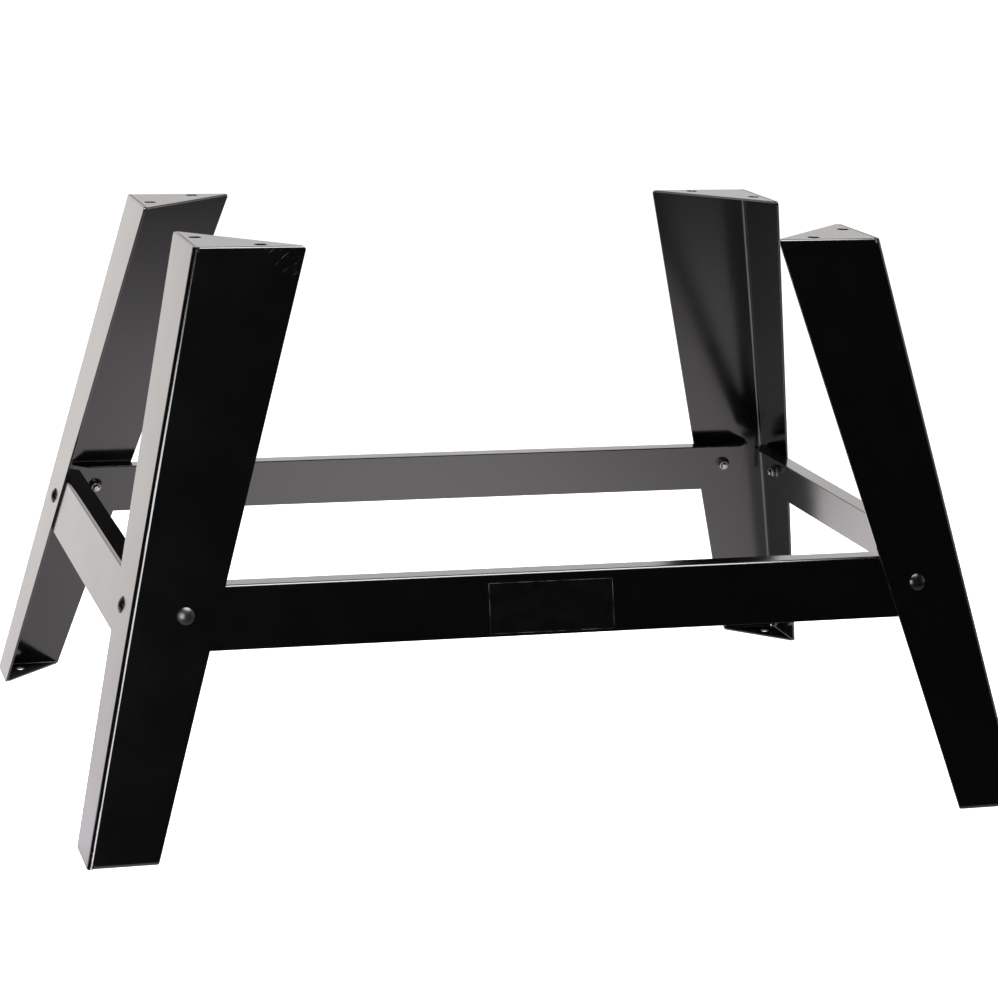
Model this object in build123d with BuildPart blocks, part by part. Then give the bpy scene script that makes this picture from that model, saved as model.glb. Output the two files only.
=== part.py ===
"""Bolt-together machine stand: four folded sheet-steel legs, four angle rails and their fasteners."""

import os
from math import atan, cos, pi, tan

from build123d import *

# Stand: sizes over the outside corners of the legs
stand_height = 500.0
top_length = 626.0
top_depth = 352.0
foot_length = 848.0
foot_depth = 620.0

# Legs: one folded sheet each, wide at the top and narrow at the foot
leg_sheet = 2.0
leg_bend = 4.5
flange_bend = 2.5
leg_top_width = 98.0
leg_foot_width = 60.0
leg_corner_radius = 3.0
flange_seam = 0.8

# Holes in the leg flanges, placed from the outside corner of the leg
top_hole_diameter = 11.0
top_hole_near = 12.0
top_hole_far = 60.0
foot_hole_diameter = 8.5
foot_hole_inset = 20.0

# Rails: angle section, web against the inside of the legs, flange turned inwards
rail_sheet = 1.5
rail_bend = 3.5
rail_top = 223.0
rail_web = 53.0
rail_flange = 19.0
rail_setback = 18.0
rail_flange_clip = 15.0

# Fasteners: cup square bolts with flanged lock nuts, one through each leg face
bolt_height = 200.0
bolt_inset = 47.0
bolt_diameter = 6.0
bolt_head_diameter = 15.0
bolt_head_rim = 0.4
bolt_head_dome = 2.7
bolt_neck = 6.0
bolt_spare_length = 2.5
neck_clearance = 0.2
shank_clearance = 0.5
nut_across_flats = 10.0
nut_height = 6.0
nut_flange_diameter = 14.2
nut_flange_rim = 0.8
nut_flange_height = 1.9
nut_chamfer = 0.6
nut_collar_diameter = 9.4
nut_collar_height = 1.4
nut_collar_round = 0.6
nut_recess_diameter = 7.8
nut_recess_depth = 0.8
nut_bore_clearance = 0.1

# The legs lean outwards towards the floor along the length and along the depth
lean_x = (foot_length - top_length) / 2 / stand_height
lean_y = (foot_depth - top_depth) / 2 / stand_height

fold_line = Vector(lean_x, lean_y, 1)

# Sheet thickness of the leaning walls, measured level
end_wall = leg_sheet / cos(atan(lean_x))
front_wall = leg_sheet / cos(atan(lean_y))

rail_bottom = rail_top - rail_web
bolt_length = leg_sheet + rail_sheet + nut_height + bolt_spare_length
neck_hole = bolt_neck + 2 * neck_clearance
rail_hole_diameter = bolt_diameter + 2 * shank_clearance
cut_margin = 1.0

# The foot bend turns past a right angle, so it takes up the most sheet on each side of the fold
bend_run = flange_bend / tan((pi / 2 - atan(lean_y)) / 2)
relief_reach = bend_run + flange_seam
fold_arm = leg_bend + flange_seam
seam_edge = end_wall + flange_seam
inner_bend = leg_bend - leg_sheet
flange_inner_bend = flange_bend - leg_sheet
flange_reach = leg_top_width + fold_arm


def half_length(height):
    """Distance from the middle of the stand to the outside of an end, at a height."""
    return foot_length / 2 - lean_x * height


def half_depth(height):
    """Distance from the middle of the stand to the outside of a long side, at a height."""
    return foot_depth / 2 - lean_y * height


def corner_plane(height):
    """Level plane at a height, with its origin on the outside corner of the front left leg."""
    return Plane((-half_length(height), -half_depth(height), height))


def face_seat(side_x, side_y, on_end):
    """Plane on the outside of a leg face, at its bolt, looking outwards."""
    if on_end:
        centre = (
            side_x * half_length(bolt_height),
            side_y * (half_depth(bolt_height) - bolt_inset),
            bolt_height,
        )
        return Plane(centre, x_dir=(0, 1, 0), z_dir=(side_x, 0, lean_x))
    centre = (
        side_x * (half_length(bolt_height) - bolt_inset),
        side_y * half_depth(bolt_height),
        bolt_height,
    )
    return Plane(centre, x_dir=(1, 0, 0), z_dir=(0, side_y, lean_y))


def rail_outline(foot_half, lean):
    """Corner points of a rail's angle section: inward distance from the middle, then height."""
    wall = leg_sheet / cos(atan(lean))
    web = rail_sheet / cos(atan(lean))

    def web_face(height):
        return wall - (foot_half - lean * height)

    inner_fold = rail_top - rail_sheet
    flange_edge = web_face(rail_top) + rail_flange
    return [
        (web_face(rail_bottom), rail_bottom),
        (web_face(rail_top), rail_top),
        (flange_edge, rail_top),
        (flange_edge, inner_fold),
        (web_face(inner_fold) + web, inner_fold),
        (web_face(rail_bottom) + web, rail_bottom),
    ]


def leg_outline(half_size):
    """A leg face seen from outside, from past its fold to its free edge, with the free corners rounded."""
    free_corners = [(width - half_size(height), height) for height, width in leg_ends]
    past_fold = -half_size(0) - cut_margin
    with BuildSketch() as outline:
        with BuildLine():
            Polyline((past_fold, 0), *free_corners, (past_fold, stand_height), close=True)
        make_face()
        for corner in free_corners:
            fillet(outline.vertices().sort_by_distance(corner)[0], leg_corner_radius)
    return outline.sketch


leg_ends = ((0, leg_foot_width), (stand_height, leg_top_width))
front_outline = leg_outline(half_length)
side_outline = leg_outline(half_depth)

# Leg, long face: a channel with the foot and top flanges bent in from it
with BuildPart() as leg_long_face:
    foot_front = -half_depth(0)
    top_front = -half_depth(stand_height)
    bends = [
        ((foot_front, 0), flange_bend),
        ((top_front, stand_height), flange_bend),
        ((top_front + front_wall - lean_y * leg_sheet, stand_height - leg_sheet), flange_inner_bend),
        ((foot_front + front_wall + lean_y * leg_sheet, leg_sheet), flange_inner_bend),
    ]
    with BuildSketch(Plane.YZ.offset(-half_length(0))) as section:
        with BuildLine():
            Polyline(
                (foot_front + flange_reach, 0),
                bends[0][0],
                bends[1][0],
                (top_front + flange_reach, stand_height),
                (top_front + flange_reach, stand_height - leg_sheet),
                bends[2][0],
                bends[3][0],
                (foot_front + flange_reach, leg_sheet),
                close=True,
            )
        make_face()
        for corner, radius in bends:
            fillet(section.vertices().sort_by_distance(corner)[0], radius)
    extrude(amount=half_length(0))

    # Plan of the blank, clear of the end face by the seam and of the fold by the bend relief
    with BuildSketch(corner_plane(-cut_margin)):
        with BuildLine():
            Polyline(
                (fold_arm, -cut_margin),
                (flange_reach, -cut_margin),
                (flange_reach, flange_reach),
                (seam_edge, flange_reach),
                (seam_edge, relief_reach),
                (fold_arm, relief_reach),
                close=True,
            )
        make_face()
    extrude(amount=fold_line.length * (stand_height + 2 * cut_margin), dir=fold_line, mode=Mode.INTERSECT)

    # Sloping edge of the two flanges, from the free edge of the long face to the end face
    foot_tip = corner_plane(0).from_local_coords((leg_foot_width, front_wall))
    top_tip = corner_plane(stand_height).from_local_coords((leg_top_width, front_wall))
    slope = Vector(1, -1, 0)
    split(bisect_by=Plane(foot_tip, x_dir=slope, z_dir=slope.cross(top_tip - foot_tip)), keep=Keep.TOP)

    with BuildSketch(Plane.XZ):
        add(front_outline)
    extrude(amount=half_depth(0) + cut_margin, mode=Mode.INTERSECT)

# Leg, end face: a flat tapering sheet that the fold joins to the long face
with BuildPart() as leg_end_face:
    with BuildSketch(corner_plane(0)) as section:
        with BuildLine():
            Polyline(
                (0, 0),
                (fold_arm, 0),
                (fold_arm, front_wall),
                (end_wall, front_wall),
                (end_wall, flange_reach),
                (0, flange_reach),
                close=True,
            )
        make_face()
        fillet(section.vertices().sort_by_distance((end_wall, front_wall))[0], inner_bend)
        fillet(section.vertices().sort_by_distance((0, 0))[0], leg_bend)
    extrude(amount=fold_line.length * stand_height, dir=fold_line)
    with BuildSketch(Plane.YZ):
        add(side_outline)
    extrude(amount=-(half_length(0) + cut_margin), mode=Mode.INTERSECT)

    # Relief slots beside the fold, where the flange bends begin
    for height, inwards in ((0, 1), (stand_height, -1)):
        with BuildSketch(corner_plane(height)):
            with Locations((fold_arm - flange_seam / 2, 0)):
                Rectangle(flange_seam, 2 * relief_reach)
        extrude(amount=relief_reach, dir=fold_line * inwards, mode=Mode.SUBTRACT)

# Leg: the two faces as one folded sheet
with BuildPart() as front_left_leg:
    add(leg_long_face.part)
    add(leg_end_face.part)

    # Machine holes in the top flange and a fixing hole in the foot
    with BuildSketch(corner_plane(stand_height)):
        with Locations((top_hole_near, top_hole_far), (top_hole_far, top_hole_near)):
            Circle(top_hole_diameter / 2)
    extrude(amount=-leg_sheet, mode=Mode.SUBTRACT)
    with BuildSketch(corner_plane(0)):
        with Locations((foot_hole_inset, foot_hole_inset)):
            Circle(foot_hole_diameter / 2)
    extrude(amount=leg_sheet, mode=Mode.SUBTRACT)

    # Square holes for the bolt necks
    for on_end in (False, True):
        with BuildSketch(face_seat(-1, -1, on_end)):
            Rectangle(neck_hole, neck_hole)
        extrude(amount=-(leg_sheet + cut_margin), mode=Mode.SUBTRACT)

with BuildPart() as front_right_leg:
    mirror(front_left_leg.part, about=Plane.YZ)

with BuildPart() as rear_left_leg:
    mirror(front_left_leg.part, about=Plane.XZ)

with BuildPart() as rear_right_leg:
    mirror(rear_left_leg.part, about=Plane.YZ)

# Long rail: joins the long faces of two legs, with its flange ends clipped to clear the end rails
with BuildPart() as front_rail:
    half_rail = half_length(rail_top) - rail_setback
    outline = rail_outline(foot_depth / 2, lean_y)
    with BuildSketch(Plane.YZ.offset(-half_rail)) as section:
        with BuildLine():
            Polyline(*outline, close=True)
        make_face()
        fillet(section.vertices().sort_by_distance(outline[4])[0], rail_bend - rail_sheet)
        fillet(section.vertices().sort_by_distance(outline[1])[0], rail_bend)
    extrude(amount=2 * half_rail)
    chamfer(edges().filter_by(Axis.Z).group_by(Axis.Y)[-1], rail_flange_clip)
    for side_x in (-1, 1):
        with BuildSketch(face_seat(side_x, -1, False)):
            Circle(rail_hole_diameter / 2)
        extrude(amount=-(leg_sheet + rail_sheet + cut_margin), mode=Mode.SUBTRACT)

with BuildPart() as rear_rail:
    mirror(front_rail.part, about=Plane.XZ)

# End rail: the same angle, joining the end faces of a front and a rear leg
with BuildPart() as left_end_rail:
    half_rail = half_depth(rail_top) - rail_setback
    outline = rail_outline(foot_length / 2, lean_x)
    with BuildSketch(Plane.XZ.offset(-half_rail)) as section:
        with BuildLine():
            Polyline(*outline, close=True)
        make_face()
        fillet(section.vertices().sort_by_distance(outline[4])[0], rail_bend - rail_sheet)
        fillet(section.vertices().sort_by_distance(outline[1])[0], rail_bend)
    extrude(amount=2 * half_rail)
    chamfer(edges().filter_by(Axis.Z).group_by(Axis.X)[-1], rail_flange_clip)
    for side_y in (-1, 1):
        with BuildSketch(face_seat(-1, side_y, True)):
            Circle(rail_hole_diameter / 2)
        extrude(amount=-(leg_sheet + rail_sheet + cut_margin), mode=Mode.SUBTRACT)

with BuildPart() as right_end_rail:
    mirror(left_end_rail.part, about=Plane.YZ)

# Cup square bolt: domed head with a thin rim, square neck that the leg holds, plain shank
with BuildPart() as coach_bolt:
    rim_corner = (bolt_head_diameter / 2, bolt_head_rim)
    dome_top = (0, bolt_head_rim + bolt_head_dome)
    with BuildSketch(Plane.XZ):
        with BuildLine():
            Polyline(dome_top, (0, 0), (bolt_head_diameter / 2, 0), rim_corner)
            TangentArc(dome_top, rim_corner, tangent=(1, 0))
        make_face()
    revolve(axis=Axis.Z)
    with BuildSketch():
        Rectangle(bolt_neck, bolt_neck)
    extrude(amount=-leg_sheet)
    with BuildSketch():
        Circle(bolt_diameter / 2)
    extrude(amount=-bolt_length)

# Lock nut: hexagon on a wide seat, with a round collar that holds the locking ring
with BuildPart() as flange_nut:
    hexagon_top = nut_height - nut_collar_height
    with BuildSketch():
        RegularPolygon(nut_across_flats / 2, 6, major_radius=False)
    extrude(amount=hexagon_top)
    chamfer(faces().sort_by(Axis.Z)[-1].edges(), nut_chamfer)
    with BuildSketch():
        Circle(nut_collar_diameter / 2)
    extrude(amount=nut_height)
    fillet(faces().sort_by(Axis.Z)[-1].edges(), nut_collar_round)
    with BuildSketch(Plane.XZ):
        with BuildLine():
            Polyline(
                (0, 0),
                (nut_flange_diameter / 2, 0),
                (nut_flange_diameter / 2, nut_flange_rim),
                (nut_across_flats / 2, nut_flange_height),
                (0, nut_flange_height),
                close=True,
            )
        make_face()
    revolve(axis=Axis.Z)
    with Locations((0, 0, nut_height)):
        CounterBoreHole(bolt_diameter / 2 + nut_bore_clearance, nut_recess_diameter / 2, nut_recess_depth)

# Every piece is labelled and written to its own file
os.makedirs("parts", exist_ok=True)
pieces = {
    "front_left_leg": front_left_leg.part,
    "front_right_leg": front_right_leg.part,
    "rear_left_leg": rear_left_leg.part,
    "rear_right_leg": rear_right_leg.part,
    "front_rail": front_rail.part,
    "rear_rail": rear_rail.part,
    "left_end_rail": left_end_rail.part,
    "right_end_rail": right_end_rail.part,
}
for row, side_y in (("front", -1), ("rear", 1)):
    for hand, side_x in (("left", -1), ("right", 1)):
        for face, on_end in ((row, False), ("end", True)):
            seat = face_seat(side_x, side_y, on_end)
            nut_seat = seat.offset(-(leg_sheet + rail_sheet))
            nut_plane = Plane(nut_seat.origin, x_dir=nut_seat.x_dir, z_dir=-nut_seat.z_dir)
            pieces[f"{row}_{hand}_{face}_bolt"] = seat.location * coach_bolt.part
            pieces[f"{row}_{hand}_{face}_nut"] = nut_plane.location * flange_nut.part
for name, piece in pieces.items():
    piece.label = name
    export_step(piece, f"parts/{name}.step")
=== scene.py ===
"""Looks of a bolt-together machine stand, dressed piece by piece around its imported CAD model."""

from math import atan, pi, radians

import bmesh
import bpy
from mathutils import Matrix, Vector
from mathutils.bvhtree import BVHTree


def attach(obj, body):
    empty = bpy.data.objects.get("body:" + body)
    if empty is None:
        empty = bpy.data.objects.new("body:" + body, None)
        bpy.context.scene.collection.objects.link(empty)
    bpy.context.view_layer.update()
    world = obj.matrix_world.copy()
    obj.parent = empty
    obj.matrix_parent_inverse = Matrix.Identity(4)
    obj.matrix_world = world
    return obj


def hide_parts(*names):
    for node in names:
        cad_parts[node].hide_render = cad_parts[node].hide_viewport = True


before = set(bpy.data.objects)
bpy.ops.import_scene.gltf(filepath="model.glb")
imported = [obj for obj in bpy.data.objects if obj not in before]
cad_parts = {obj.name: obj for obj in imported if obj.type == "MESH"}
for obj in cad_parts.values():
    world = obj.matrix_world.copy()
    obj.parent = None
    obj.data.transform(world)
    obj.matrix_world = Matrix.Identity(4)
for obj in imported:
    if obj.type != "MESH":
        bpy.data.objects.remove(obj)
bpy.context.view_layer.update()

# Legs. Each one is a single tapering sheet of 2 mm steel, folded along its corner, with a top and a foot
# flange bent in from the long face. They are painted in gloss black enamel, which lies a little uneven over
# the sheet, is thin on its cut edges and is scuffed in one spot, at the top of the front left leg.
MM = 0.001
LEG_NAMES = ["front_left_leg", "front_right_leg", "rear_left_leg", "rear_right_leg"]
EDGE_ROUND = 0.3 * MM
CUT_EDGE_ANGLE = radians(32)
FLAT_ANGLE = radians(0.1)
WELD = 0.002 * MM
ENAMEL_BLACK = (0.0003, 0.0003, 0.00035, 1)
ENAMEL_WORN = (0.045, 0.044, 0.043, 1)
ENAMEL_IOR = 1.55
ENAMEL_GLOSS = 0.15
LEG_PEEL = 0.35
PEEL_DEPTH = 0.02 * MM
SCUFF_SPOT = (-0.229, -0.176, 0.497)
SCUFF_REACH = 0.026
SCRATCH_TURN = (0, radians(-38), 0)
SCRATCH_STRETCH = (1.0, 0.17, 0.08)


def add_node(tree, kind, place, **sockets):
    """A shader node at a place in the editor, with some of its inputs set by name."""
    node = tree.nodes.new(kind)
    node.location = place
    for name, value in sockets.items():
        node.inputs[name.replace("_", " ")].default_value = value
    return node


def add_math(tree, operation, place, first, second):
    """A math node of two inputs, each either a number or another node's output."""
    node = add_node(tree, "ShaderNodeMath", place)
    node.operation = operation
    for socket, value in zip(node.inputs, (first, second)):
        if isinstance(value, (int, float)):
            socket.default_value = value
        else:
            tree.links.new(value, socket)
    return node.outputs["Value"]


def add_range(tree, place, source, start, stop, low, high, ease="LINEAR"):
    """A map range node that takes an output from start..stop to low..high."""
    node = add_node(tree, "ShaderNodeMapRange", place, From_Min=start, From_Max=stop, To_Min=low, To_Max=high)
    node.interpolation_type = ease
    tree.links.new(source, node.inputs["Value"])
    return node.outputs["Result"]


def add_noise(tree, place, coordinates, scale, detail):
    """A noise texture on the given coordinates, as one grey output."""
    node = add_node(tree, "ShaderNodeTexNoise", place, Scale=scale, Detail=detail)
    tree.links.new(coordinates, node.inputs["Vector"])
    return node.outputs["Fac"]


def add_distance(tree, place, coordinates, spot):
    """The distance of the given coordinates from one spot."""
    node = add_node(tree, "ShaderNodeVectorMath", place)
    node.operation = "DISTANCE"
    node.inputs[1].default_value = spot
    tree.links.new(coordinates, node.inputs[0])
    return node.outputs["Value"]


def add_blend(tree, place, factor, first, second):
    """A colour between two others, by an output that runs from 0 to 1."""
    node = add_node(tree, "ShaderNodeMix", place)
    node.data_type = "RGBA"
    node.inputs[6].default_value = first
    node.inputs[7].default_value = second
    tree.links.new(factor, node.inputs["Factor"])
    return node.outputs[2]


def add_wear(tree, place):
    """How far each face is worn, as it was marked on the piece's mesh."""
    node = add_node(tree, "ShaderNodeAttribute", place)
    node.attribute_name = "worn_edge"
    return node.outputs["Fac"]


def add_relief(tree, place, shader, height, strength, depth):
    """A fine relief on a finish, bumped by an output and set on the shader's normal."""
    node = add_node(tree, "ShaderNodeBump", place, Strength=strength, Distance=depth)
    tree.links.new(height, node.inputs["Height"])
    tree.links.new(node.outputs["Normal"], shader.inputs["Normal"])


def new_finish(name, ior):
    """A material with its node tree, its shader and the object coordinates that its patterns lie on."""
    finish = bpy.data.materials.new(name)
    finish.use_nodes = True
    tree = finish.node_tree
    shader = tree.nodes["Principled BSDF"]
    shader.inputs["IOR"].default_value = ior
    coordinates = add_node(tree, "ShaderNodeTexCoord", (-1700, 0)).outputs["Object"]
    return finish, tree, shader, coordinates


def enamel(name, peel):
    """Gloss black enamel on sheet steel: orange peel, duller patches, worn edges and one scuffed spot."""
    paint, tree, shader, where = new_finish(name, ENAMEL_IOR)
    link = tree.links.new

    scratched = add_node(tree, "ShaderNodeMapping", (-1500, 300))
    scratched.vector_type = "TEXTURE"
    scratched.inputs["Rotation"].default_value = SCRATCH_TURN
    scratched.inputs["Scale"].default_value = SCRATCH_STRETCH
    link(where, scratched.inputs["Vector"])
    streaks = add_noise(tree, (-1300, 300), scratched.outputs["Vector"], 62.0, 2.0)
    scratches = add_range(tree, (-1100, 300), streaks, 0.64, 0.7, 0.0, 1.0)
    from_spot = add_distance(tree, (-1300, 600), where, SCUFF_SPOT)
    rubbed = add_range(tree, (-1100, 600), from_spot, 0.4 * SCUFF_REACH, SCUFF_REACH, 0.45, 0.0)
    scuffs = add_math(tree, "MULTIPLY", (-900, 400), scratches, rubbed)

    flecks = add_noise(tree, (-1300, 850), where, 150.0, 4.0)
    chips = add_range(tree, (-1100, 850), flecks, 0.56, 0.64, 0.0, 0.35)
    edge_wear = add_math(tree, "MULTIPLY", (-900, 900), add_wear(tree, (-1100, 1100)), chips)
    worn = add_math(tree, "MAXIMUM", (-700, 600), scuffs, edge_wear)
    link(add_blend(tree, (-300, 500), worn, ENAMEL_BLACK, ENAMEL_WORN), shader.inputs["Base Color"])

    haze = add_noise(tree, (-1300, 0), where, 18.0, 3.0)
    patches = add_range(tree, (-1100, 0), haze, 0.35, 0.75, ENAMEL_GLOSS, ENAMEL_GLOSS + 0.04)
    rubbed_dull = add_math(tree, "MULTIPLY", (-500, 200), worn, 0.25)
    link(add_math(tree, "ADD", (-300, 100), patches, rubbed_dull), shader.inputs["Roughness"])

    ripple = add_noise(tree, (-900, -300), where, 420.0, 1.0)
    add_relief(tree, (-300, -300), shader, ripple, peel, PEEL_DEPTH)
    return paint


def round_over(shape, edges, radius, segments=3):
    """Rounds edges over to a radius, and returns the faces that this makes."""
    bevelled = bmesh.ops.bevel(
        shape,
        geom=edges,
        offset=radius,
        offset_type="OFFSET",
        affect="EDGES",
        segments=segments,
        profile=0.5,
        material=-1,
    )
    return bevelled["faces"]


def soft_copy(name, edge_round):
    """A copy of a CAD piece's shape with its cut edges rounded over and marked as worn edges."""
    shape = bmesh.new()
    shape.from_mesh(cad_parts[name].data)
    bmesh.ops.remove_doubles(shape, verts=shape.verts, dist=WELD)
    bmesh.ops.dissolve_limit(shape, angle_limit=FLAT_ANGLE, verts=shape.verts, edges=shape.edges)
    skin = BVHTree.FromBMesh(shape)
    worn_edge = shape.faces.layers.float.new("worn_edge")
    cut_edges = [edge for edge in shape.edges if edge.calc_face_angle() > CUT_EDGE_ANGLE]
    for face in round_over(shape, cut_edges, edge_round):
        face[worn_edge] = 1.0
    # A corner that strays off the sheet where bevels meet goes back to the nearest point on it
    for vert in shape.verts:
        nearest, _, _, distance = skin.find_nearest(vert.co)
        if distance > 0.5 * edge_round:
            vert.co = nearest
    bmesh.ops.triangulate(shape, faces=[face for face in shape.faces if len(face.verts) > 4])
    for edge in shape.edges:
        edge.smooth = True
    return shape


def set_in_place(shape, name, materials, node=None):
    """A finished piece from its shape, riding on the stand, and standing for a CAD node if one is named."""
    for face in shape.faces:
        face.smooth = True
    data = bpy.data.meshes.new(name)
    shape.to_mesh(data)
    shape.free()
    for material in materials:
        data.materials.append(material)
    piece = bpy.data.objects.new(name, data)
    bpy.context.scene.collection.objects.link(piece)
    piece.modifiers.new("flat_faces", "WEIGHTED_NORMAL").keep_sharp = True
    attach(piece, "root")
    if node:
        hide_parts(node)


leg_enamel = enamel("leg_enamel", LEG_PEEL)
for leg_name in LEG_NAMES:
    shape = soft_copy(leg_name, EDGE_ROUND)
    set_in_place(shape, leg_name + "_sheet", [leg_enamel], leg_name)

# Rails. Angle section in 1.5 mm steel, one along each side of the stand, with the web flat against the
# inside of the legs and the flange turned inwards at the top. Same black enamel.
RAIL_NAMES = ["front_rail", "rear_rail", "left_end_rail", "right_end_rail"]
RAIL_PEEL = 0.3
rail_enamel = enamel("rail_enamel", RAIL_PEEL)
for rail_name in RAIL_NAMES:
    shape = soft_copy(rail_name, EDGE_ROUND)
    set_in_place(shape, rail_name + "_sheet", [rail_enamel], rail_name)

# Label. A bare rectangle of black vinyl film on the outside of the front rail, pressed flat on its web. It
# stands a tenth of a millimetre proud of the paint, and the black stops short of its edge and leaves a thin
# margin.
LABEL_LENGTH = 112.8 * MM
LABEL_WIDTH = 44.2 * MM
LABEL_FILM = 0.2 * MM
LABEL_CORNER = 0.8 * MM
LABEL_MARGIN = 0.5 * MM
LABEL_MIDDLE = (-10.9 * MM, 193.8 * MM)
LONG_LEAN = 0.268  # inwards per unit of height, on the long sides of the stand
WEB_AT_FLOOR = -307.93 * MM  # outside of the web, carried down to the floor
CREASE_ANGLE = radians(30)
VINYL_IOR = 1.5
FILM_TONES = ((0.0004, 0.0004, 0.00045, 1), (0.0009, 0.0009, 0.001, 1))
FILM_GLOSS = 0.16
MARGIN_TONES = ((0.002, 0.002, 0.002, 1), (0.032, 0.0316, 0.031, 1))
MARGIN_GLOSS = 0.25


def vinyl(name, tones, gloss):
    """Vinyl film with a faint mottle from one tone to a paler one, and a satin gloss."""
    film, tree, shader, where = new_finish(name, VINYL_IOR)
    clouds = add_noise(tree, (-900, 200), where, 90.0, 3.0)
    mottle = add_range(tree, (-700, 200), clouds, 0.4, 0.62, 0.0, 1.0)
    tree.links.new(add_blend(tree, (-300, 200), mottle, *tones), shader.inputs["Base Color"])
    haze = add_noise(tree, (-900, -100), where, 40.0, 2.0)
    satin = add_range(tree, (-700, -100), haze, 0.3, 0.7, gloss, gloss + 0.05)
    tree.links.new(satin, shader.inputs["Roughness"])
    return film


def keep_creases(shape):
    """Shades a shape smooth apart from its creases."""
    for edge in shape.edges:
        edge.smooth = edge.calc_face_angle(0) < CREASE_ANGLE


shape = bmesh.new()
bmesh.ops.create_cube(shape, size=1.0)
bmesh.ops.scale(shape, verts=shape.verts, vec=(LABEL_LENGTH, LABEL_FILM, LABEL_WIDTH))
through = [edge for edge in shape.edges if abs(edge.verts[0].co.y - edge.verts[1].co.y) > 0.5 * LABEL_FILM]
round_over(shape, through, LABEL_CORNER, segments=4)
shape.normal_update()
outside = [face for face in shape.faces if face.normal.y < -0.9]
margin = bmesh.ops.inset_region(shape, faces=outside, thickness=LABEL_MARGIN, use_even_offset=True)
for face in margin["faces"]:
    face.material_index = 1
middle_x, middle_z = LABEL_MIDDLE
web_y = WEB_AT_FLOOR + LONG_LEAN * middle_z
web_turn = Matrix.Rotation(-atan(LONG_LEAN), 3, "X")
bmesh.ops.rotate(shape, verts=shape.verts, cent=(0, 0, 0), matrix=web_turn)
bmesh.ops.translate(shape, verts=shape.verts, vec=(middle_x, web_y, middle_z))
keep_creases(shape)
label_vinyl = vinyl("label_vinyl", FILM_TONES, FILM_GLOSS)
label_margin = vinyl("label_margin", MARGIN_TONES, MARGIN_GLOSS)
set_in_place(shape, "label", [label_vinyl, label_margin])

# Cup square bolts. Forged steel with a domed head, one through each face of each leg. The square neck keeps
# the bolt from turning in the leg sheet, and the screwed end comes out of the nut. They are black from the
# forge, one head rougher than the rest, and bare at the cut point.
BOLT_NAMES = [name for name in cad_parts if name.endswith("_bolt")]
ROUGH_BOLT = "front_left_front_bolt"
END_LEAN = 0.222  # inwards per unit of height, on the ends of the stand
BOLT_HEIGHT = 200.0 * MM
SEAT_ON_LONG_FACE = (332.6 * MM, 256.4 * MM)  # middle of the head's seat, from the middle of the stand
SEAT_ON_END_FACE = (379.6 * MM, 209.4 * MM)
HEAD_RADIUS = 7.5 * MM
HEAD_RIM = 0.4 * MM
HEAD_DOME = 2.7 * MM
HEAD_ROUND = 0.12 * MM
HEAD_SEGMENTS = 64
HEAD_RINGS = 72
NECK_WIDTH = 6.0 * MM
NECK_DEPTH = 2.0 * MM
BOLT_REACH = 12.0 * MM
BOLT_POINT = 0.5 * MM
POINT_TAPER = 0.82
BARE_FROM = 0.6 * MM
THREAD_CREST = 2.98 * MM
THREAD_ROOT = 2.5 * MM
THREAD_PITCH = 1.0 * MM
THREAD_STEPS = 20
THREAD_TURNS = 12
THREAD_START = 0.9 * NECK_DEPTH
SPIN_WELD = 0.005 * MM
FORGE_BLACK = (0.0015, 0.0015, 0.0015, 1)
BARE_STEEL = (0.34, 0.335, 0.33, 1)


def move_to_seat(shape, name):
    """Moves a fastener's shape to its place on the stand, with its Z axis out of the leg face it is in."""
    row, hand, face = name.split("_")[:3]
    side_x = -1 if hand == "left" else 1
    side_y = -1 if row == "front" else 1
    if face == "end":
        seat_x, seat_y = SEAT_ON_END_FACE
        level = Vector((0, 1, 0))
        outward = Vector((side_x, 0, END_LEAN)).normalized()
    else:
        seat_x, seat_y = SEAT_ON_LONG_FACE
        level = Vector((1, 0, 0))
        outward = Vector((0, side_y, LONG_LEAN)).normalized()
    turn = Matrix((level, outward.cross(level), outward)).transposed()
    bmesh.ops.rotate(shape, verts=shape.verts, cent=(0, 0, 0), matrix=turn)
    bmesh.ops.translate(shape, verts=shape.verts, vec=(side_x * seat_x, side_y * seat_y, BOLT_HEIGHT))


def cut_off(shape, level, facing):
    """Cuts a shape level and takes away what lies above the cut, or below it where it faces down."""
    everything = shape.verts[:] + shape.edges[:] + shape.faces[:]
    bmesh.ops.bisect_plane(
        shape, geom=everything, plane_co=(0, 0, level), plane_no=(0, 0, facing), clear_outer=True
    )


def draw_out(shape, rim):
    """Extrudes a rim of edges in place, and returns the new vertices and the new open edges."""
    drawn = bmesh.ops.extrude_edge_only(shape, edges=rim)["geom"]
    verts = [item for item in drawn if isinstance(item, bmesh.types.BMVert)]
    edges = [item for item in drawn if isinstance(item, bmesh.types.BMEdge) and item.is_boundary]
    return verts, edges


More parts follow.
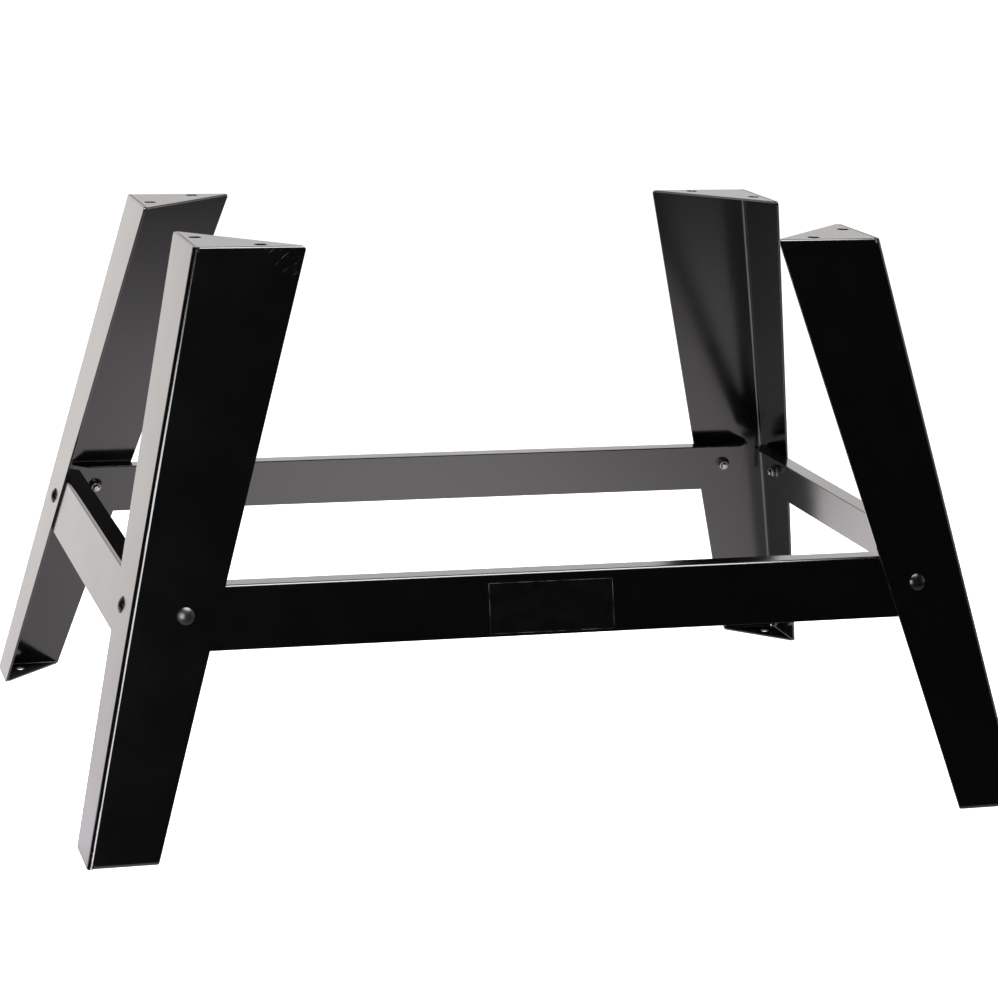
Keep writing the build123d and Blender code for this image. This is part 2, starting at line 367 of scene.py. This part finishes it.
def add_screwed_end(shape):
    """A screw thread down to the bolt's point, spun as one helical strip and cut level at both ends."""
    thread = bmesh.new()
    strip = [
        (THREAD_ROOT, 0.0),
        (THREAD_CREST, -0.42),
        (THREAD_CREST, -0.54),
        (THREAD_ROOT, -0.96),
        (THREAD_ROOT, -1.0),
    ]
    points = [thread.verts.new((radius, 0, drop * THREAD_PITCH)) for radius, drop in strip]
    flanks = [thread.edges.new(pair) for pair in zip(points, points[1:])]
    bmesh.ops.spin(
        thread,
        geom=points + flanks,
        cent=(0, 0, 0),
        axis=(0, 0, 1),
        dvec=(0, 0, -THREAD_PITCH / THREAD_STEPS),
        angle=2 * pi * THREAD_TURNS,
        steps=THREAD_STEPS * THREAD_TURNS,
        use_merge=False,
    )
    bmesh.ops.remove_doubles(thread, verts=thread.verts, dist=SPIN_WELD)
    cut_off(thread, -THREAD_START, 1)
    cut_off(thread, BOLT_POINT - BOLT_REACH, -1)
    open_edges = [edge for edge in thread.edges if edge.is_boundary]
    lower = [edge for edge in open_edges if edge.verts[0].co.z < -0.5 * BOLT_REACH]
    upper = [edge for edge in open_edges if edge not in lower]
    point_verts, point_edges = draw_out(thread, lower)
    bmesh.ops.scale(thread, verts=point_verts, vec=(POINT_TAPER, POINT_TAPER, 1))
    bmesh.ops.translate(thread, verts=point_verts, vec=(0, 0, -BOLT_POINT))
    bmesh.ops.edgeloop_fill(thread, edges=point_edges)
    bmesh.ops.edgeloop_fill(thread, edges=upper)
    bmesh.ops.recalc_face_normals(thread, faces=thread.faces)
    data = bpy.data.meshes.new("thread")
    thread.to_mesh(data)
    thread.free()
    shape.from_mesh(data)
    bpy.data.meshes.remove(data)


def cup_bolt():
    """A bolt about the Z axis with its head above zero: domed head, square neck and screwed end."""
    shape = bmesh.new()
    ball = (HEAD_RADIUS**2 + HEAD_DOME**2) / (2 * HEAD_DOME)
    bmesh.ops.create_uvsphere(shape, u_segments=HEAD_SEGMENTS, v_segments=HEAD_RINGS, radius=ball)
    bmesh.ops.translate(shape, verts=shape.verts, vec=(0, 0, HEAD_RIM + HEAD_DOME - ball))
    cut_off(shape, HEAD_RIM, -1)
    rim = [edge for edge in shape.edges if edge.is_boundary]
    seat_verts, seat_edges = draw_out(shape, rim)
    bmesh.ops.translate(shape, verts=seat_verts, vec=(0, 0, -HEAD_RIM))
    bmesh.ops.edgeloop_fill(shape, edges=seat_edges)
    bmesh.ops.recalc_face_normals(shape, faces=shape.faces)
    rim_edges = [edge for edge in shape.edges if edge.calc_face_angle(0) > CREASE_ANGLE]
    round_over(shape, rim_edges, HEAD_ROUND)
    neck_height = NECK_DEPTH + 0.5 * HEAD_RIM
    neck = bmesh.ops.create_cube(shape, size=1.0)["verts"]
    bmesh.ops.scale(shape, verts=neck, vec=(NECK_WIDTH, NECK_WIDTH, neck_height))
    bmesh.ops.translate(shape, verts=neck, vec=(0, 0, 0.5 * HEAD_RIM - 0.5 * neck_height))
    add_screwed_end(shape)
    worn_edge = shape.faces.layers.float.new("worn_edge")
    for face in shape.faces:
        face[worn_edge] = 1.0 if face.calc_center_median().z < BARE_FROM - BOLT_REACH else 0.0
    keep_creases(shape)
    return shape


def forged_black(name, ior, gloss, grain, depth):
    """Steel blacked as it comes from the forge, mottled and finely pitted, and bare where it is worn."""
    steel, tree, shader, where = new_finish(name, ior)
    link = tree.links.new
    clouds = add_noise(tree, (-1300, 300), where, 260.0, 4.0)
    mottle = add_range(tree, (-1100, 300), clouds, 0.38, 0.66, 0.0, 1.0)
    patches = add_range(tree, (-900, 450), mottle, 0.0, 1.0, 0.6, 1.0)
    bare = add_math(tree, "MULTIPLY", (-700, 500), add_wear(tree, (-900, 700)), patches)
    link(add_blend(tree, (-500, 300), bare, FORGE_BLACK, BARE_STEEL), shader.inputs["Base Color"])
    link(bare, shader.inputs["Metallic"])
    link(add_range(tree, (-700, 100), mottle, 0.0, 1.0, gloss, gloss + 0.1), shader.inputs["Roughness"])
    pits = add_noise(tree, (-900, -200), where, grain, 3.0)
    add_relief(tree, (-300, -200), shader, pits, 0.6, depth)
    return steel


smooth_black = forged_black("bolt_smooth_black", ior=1.36, gloss=0.2, grain=700.0, depth=0.015 * MM)
rough_black = forged_black("bolt_rough_black", ior=1.52, gloss=0.31, grain=700.0, depth=0.03 * MM)
for bolt_name in BOLT_NAMES:
    shape = cup_bolt()
    move_to_seat(shape, bolt_name)
    bolt_skin = rough_black if bolt_name == ROUGH_BOLT else smooth_black
    set_in_place(shape, bolt_name + "_turned", [bolt_skin], bolt_name)

# Lock nuts. Hexagon nuts with a wide pressed seat, run up against the inside of the rails. They are blacked,
# bright along the collar that was rolled over the locking ring, and a little worn along their other edges.
NUT_NAMES = [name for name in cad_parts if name.endswith("_nut")]
NUT_EDGE_ROUND = 0.12 * MM
NUT_FOOT = 3.5 * MM
COLLAR_START = 5.2 * MM
COLLAR_HALF_WIDTH = 4.9 * MM
CORNER_WEAR = 0.15


def bare_collar(shape, name):
    """Marks a nut's rolled collar as bare metal, by its place along the bolt's axis and about it."""
    probe = bmesh.new()
    foot = probe.verts.new((0, 0, -NUT_FOOT))
    tip = probe.verts.new((0, 0, -NUT_FOOT - COLLAR_START))
    move_to_seat(probe, name)
    start = foot.co.copy()
    inward = (tip.co - foot.co).normalized()
    probe.free()
    worn_edge = shape.faces.layers.float["worn_edge"]
    for face in shape.faces:
        offset = face.calc_center_median() - start
        along = offset.dot(inward)
        on_collar = along > COLLAR_START and (offset - along * inward).length < COLLAR_HALF_WIDTH
        face[worn_edge] = 1.0 if on_collar else CORNER_WEAR * face[worn_edge]


nut_black = forged_black("nut_black", ior=1.38, gloss=0.2, grain=900.0, depth=0.01 * MM)
for nut_name in NUT_NAMES:
    shape = soft_copy(nut_name, NUT_EDGE_ROUND)
    bare_collar(shape, nut_name)
    set_in_place(shape, nut_name + "_turned", [nut_black], nut_name)

# Locking rings. A ring of black nylon lies in the recess of each nut, under the collar, and the screw cuts
# its own thread through it.
RING_OUTER = 3.88 * MM
RING_INNER = 2.9 * MM
RING_SEAT = 8.7 * MM
RING_HEIGHT = 0.55 * MM
RING_ROUND = 0.15 * MM
RING_STEPS = 40
RING_CORNER_ANGLE = radians(60)
NYLON_BLACK = (0.006, 0.006, 0.0065, 1)
NYLON_IOR = 1.53


def nylon(name):
    """Black nylon with a soft satin skin and faint moulding ripples."""
    plastic, tree, shader, where = new_finish(name, NYLON_IOR)
    shader.inputs["Base Color"].default_value = NYLON_BLACK
    ripple = add_noise(tree, (-900, 0), where, 800.0, 2.0)
    tree.links.new(add_range(tree, (-400, 100), ripple, 0.3, 0.7, 0.4, 0.55), shader.inputs["Roughness"])
    add_relief(tree, (-300, -200), shader, ripple, 0.4, 0.02 * MM)
    return plastic


ring_nylon = nylon("ring_nylon")
for nut_name in NUT_NAMES:
    shape = bmesh.new()
    top = -RING_SEAT
    bottom = -RING_SEAT - RING_HEIGHT
    section = [(RING_INNER, top), (RING_OUTER, top), (RING_OUTER, bottom), (RING_INNER, bottom)]
    corners = [shape.verts.new((radius, 0, height)) for radius, height in section]
    sides = [shape.edges.new((corners[i - 1], corners[i])) for i in range(len(corners))]
    bmesh.ops.spin(
        shape,
        geom=corners + sides,
        cent=(0, 0, 0),
        axis=(0, 0, 1),
        angle=2 * pi,
        steps=RING_STEPS,
        use_merge=True,
    )
    bmesh.ops.remove_doubles(shape, verts=shape.verts, dist=SPIN_WELD)
    bmesh.ops.recalc_face_normals(shape, faces=shape.faces)
    corner_edges = [edge for edge in shape.edges if edge.calc_face_angle(0) > RING_CORNER_ANGLE]
    round_over(shape, corner_edges, RING_ROUND)
    move_to_seat(shape, nut_name)
    set_in_place(shape, nut_name + "_ring", [ring_nylon])

# Floor. A light table of white acrylic, lit from below as well as from above. A second disc just over it
# glows and shows only in reflections, as a painted reflection of the table in the paint: a painted pool of
# light under the stand, a painted shadow patch at the front right, and painted shade that grades it to dark
# towards the camera and to both sides.
FLOOR_RADIUS = 16.0
FLOOR_SEGMENTS = 96
TABLE_WHITE = (0.9, 0.895, 0.89, 1)
TABLE_ROUGHNESS = 0.9
GLOW_WHITE = (1, 0.99, 0.98, 1)
TABLE_GLOW = 0.97
MIRRORED_HEIGHT = 0.1 * MM
# The painted pool of light on the mirrored disc, brightest under the stand
POOL_STRETCH = (1.25, 1.0, 1.0)
POOL_MIDDLE = (0.0625, 0.22, 0.0)
POOL_SPREAD = (0.15, 0.6)
POOL_BRIGHT = 3.0
TABLE_BRIGHT = 1.65
GRADE_FROM = -0.75
GRADE_TO = 1.85
GRADE_SKEW = 0.15
GRADE = [  # place from front to back, and the brightness there
    (GRADE_FROM, 0.0),
    (-0.54, 0.24),
    (-0.36, 0.5),
    (-0.24, 0.77),
    (-0.16, 0.95),
    (0.0, 0.95),
    (0.15, 0.9),
    (0.93, 0.94),
    (GRADE_TO, 0.98),
]
TINT = [(0.385, (1, 0.945, 0.985, 1)), (0.635, (1, 0.955, 0.93, 1))]
SIDE_SPREAD = (0.8, 1.4)
SIDE_TAPER = -0.35
SIDE_BRIGHT = 0.02
RIGHT_SPREAD = (0.46, 0.54)
RIGHT_BRIGHT = 0.55
# The painted shadow on the mirrored disc, a darker spot at the front right
PAINTED_SHADE_SPOT = (0.3, -0.22, 0.0)
PAINTED_SHADE_SPREAD = (0.09, 0.17)
PAINTED_SHADE_BRIGHT = 0.4


def table_disc(name, height):
    """A flat disc of white acrylic under the stand."""
    shape = bmesh.new()
    bmesh.ops.create_circle(shape, cap_ends=True, segments=FLOOR_SEGMENTS, radius=FLOOR_RADIUS)
    bmesh.ops.translate(shape, verts=shape.verts, vec=(0, 0, height))
    data = bpy.data.meshes.new(name)
    shape.to_mesh(data)
    shape.free()
    disc = bpy.data.objects.new(name, data)
    bpy.context.scene.collection.objects.link(disc)
    acrylic = bpy.data.materials.new(name + "_acrylic")
    acrylic.use_nodes = True
    shader = acrylic.node_tree.nodes["Principled BSDF"]
    shader.inputs["Base Color"].default_value = TABLE_WHITE
    shader.inputs["Roughness"].default_value = TABLE_ROUGHNESS
    shader.inputs["Specular IOR Level"].default_value = 0.0
    shader.inputs["Emission Color"].default_value = GLOW_WHITE
    shader.inputs["Emission Strength"].default_value = TABLE_GLOW
    data.materials.append(acrylic)
    return disc


def add_ramp(tree, place, source, stops):
    """A colour ramp over an output, through stops that each have a position and a colour."""
    node = add_node(tree, "ShaderNodeValToRGB", place)
    elements = node.color_ramp.elements
    for element, (position, colour) in zip(elements, (stops[0], stops[-1])):
        element.position = position
        element.color = colour
    for position, colour in stops[1:-1]:
        elements.new(position).color = colour
    tree.links.new(source, node.inputs["Fac"])
    return node.outputs["Color"]


def grey(bright):
    """An even grey of some brightness."""
    return bright, bright, bright, 1


table_disc("floor", 0)
mirrored = table_disc("mirrored_floor", MIRRORED_HEIGHT)
mirrored.visible_camera = False
mirrored.visible_diffuse = False
mirrored.visible_shadow = False
tree = mirrored.data.materials[0].node_tree
link = tree.links.new
shader = tree.nodes["Principled BSDF"]
# The mirrored disc is black and only glows, so all it shows is painted reflection
shader.inputs["Base Color"].default_value = grey(0)
where = add_node(tree, "ShaderNodeTexCoord", (-1700, 0)).outputs["Object"]
along = add_node(tree, "ShaderNodeSeparateXYZ", (-1500, 0))
link(where, along.inputs["Vector"])
aside = add_math(tree, "ABSOLUTE", (-1300, -250), along.outputs["X"], 0.0)

stretch = add_node(tree, "ShaderNodeVectorMath", (-1500, 300))
stretch.operation = "MULTIPLY"
stretch.inputs[1].default_value = POOL_STRETCH
link(where, stretch.inputs[0])
# Painted pool of light: the mirrored disc glows brightest under the stand
reach = add_distance(tree, (-1300, 300), stretch.outputs["Vector"], POOL_MIDDLE)
pool = add_range(tree, (-1100, 300), reach, *POOL_SPREAD, POOL_BRIGHT, TABLE_BRIGHT, ease="SMOOTHSTEP")

skew = add_math(tree, "MULTIPLY", (-1100, -100), aside, GRADE_SKEW)
skewed = add_math(tree, "ADD", (-1100, 50), skew, along.outputs["Y"])
depth = add_range(tree, (-900, 50), skewed, GRADE_FROM, GRADE_TO, 0.0, 1.0)
grade_stops = [((y - GRADE_FROM) / (GRADE_TO - GRADE_FROM), grey(bright)) for y, bright in GRADE]
grade = add_ramp(tree, (-700, 50), depth, grade_stops)
link(add_ramp(tree, (-700, 400), depth, TINT), shader.inputs["Emission Color"])

# Painted shade: the glow fades towards both sides and past the right end
taper = add_math(tree, "MULTIPLY", (-1300, -400), along.outputs["Y"], SIDE_TAPER)
outwards = add_math(tree, "ADD", (-1100, -250), aside, taper)
side_fade = add_range(tree, (-900, -250), outwards, *SIDE_SPREAD, 1.0, SIDE_BRIGHT)
right_fade = add_range(tree, (-900, -500), along.outputs["X"], *RIGHT_SPREAD, 1.0, RIGHT_BRIGHT)
# Painted shadow: the glow is dimmed around a spot at the front right
from_shade_spot = add_distance(tree, (-1100, -750), where, PAINTED_SHADE_SPOT)
painted_shade_fade = add_range(tree, (-900, -750), from_shade_spot, *PAINTED_SHADE_SPREAD, PAINTED_SHADE_BRIGHT, 1.0)
glow = add_math(tree, "MULTIPLY", (-400, 150), pool, grade)
glow = add_math(tree, "MULTIPLY", (-400, -50), glow, side_fade)
glow = add_math(tree, "MULTIPLY", (-400, -250), glow, right_fade)
glow = add_math(tree, "MULTIPLY", (-400, -450), glow, painted_shade_fade)
link(glow, shader.inputs["Emission Strength"])

# Studio light. A white sweep stands behind the table, brightest above the height of the stand, with a pale
# wall on the right, and the room is dark in front. One softbox hangs over the stand, and a second one stands
# before it on the left.
SWEEP_WHITE = (1.65, 1.61, 1.57, 1)
SWEEP_SPREAD = (0.6, 0.85)
# Height on the sweep, as the Z of the direction to it, and the brightness there
SWEEP_GRADE = [(0.0, 0.56), (0.15, 0.58), (0.25, 0.95), (0.42, 1.0), (0.68, 0.62), (0.9, 0.0)]
WALL_SPREAD = (0.72, 0.95)
WALL_BRIGHT = 0.6
ROOM_DARK = (0.02, 0.02, 0.02, 1)
room = bpy.data.worlds.new("studio")
bpy.context.scene.world = room
room.use_nodes = True
tree = room.node_tree
link = tree.links.new
look = add_node(tree, "ShaderNodeTexCoord", (-1100, 0))
along = add_node(tree, "ShaderNodeSeparateXYZ", (-900, 0))
link(look.outputs["Generated"], along.inputs["Vector"])
behind = add_range(tree, (-700, 300), along.outputs["Y"], *SWEEP_SPREAD, 0.0, 1.0, ease="SMOOTHSTEP")
lift = add_ramp(tree, (-700, 0), along.outputs["Z"], [(z, grey(bright)) for z, bright in SWEEP_GRADE])
sweep = add_math(tree, "MULTIPLY", (-400, 150), behind, lift)
wall = add_range(tree, (-700, -300), along.outputs["X"], *WALL_SPREAD, 0.0, WALL_BRIGHT)
lit = add_math(tree, "MAXIMUM", (-400, -100), sweep, wall)
link(add_blend(tree, (-200, 0), lit, ROOM_DARK, SWEEP_WHITE), tree.nodes["Background"].inputs["Color"])


def softbox(name, place, turn, size, watts):
    """A rectangular studio light, out of the camera's sight."""
    data = bpy.data.lights.new(name, "AREA")
    data.shape = "RECTANGLE"
    data.size, data.size_y = size
    data.energy = watts
    lamp = bpy.data.objects.new(name, data)
    lamp.location = place
    lamp.rotation_euler = [radians(angle) for angle in turn]
    lamp.visible_camera = False
    bpy.context.scene.collection.objects.link(lamp)


softbox("overhead_softbox", place=(0.17, -0.36, 1.42), turn=(0, 0, 0), size=(1.04, 0.75), watts=44)
softbox("side_softbox", place=(-1.01, -1.47, 0.6), turn=(84, 0, -28.5), size=(0.8, 0.96), watts=38)

# Camera. A long lens in front of the stand and a little to its left, looking down at it from above its top.
# The front right foot runs a little out of the square picture.
LENS = 108.42
SENSOR = 36.0
CAMERA_PLACE = (-0.7667, -2.6669, 0.8679)
CAMERA_TURN = (77.061, -1.571, -15.942)
camera_data = bpy.data.cameras.new("camera")
camera_data.lens = LENS
camera_data.sensor_width = SENSOR
camera = bpy.data.objects.new("camera", camera_data)
camera.location = CAMERA_PLACE
camera.rotation_euler = [radians(angle) for angle in CAMERA_TURN]
bpy.context.scene.collection.objects.link(camera)
bpy.context.scene.camera = camera
bpy.context.scene.view_settings.view_transform = "Standard"
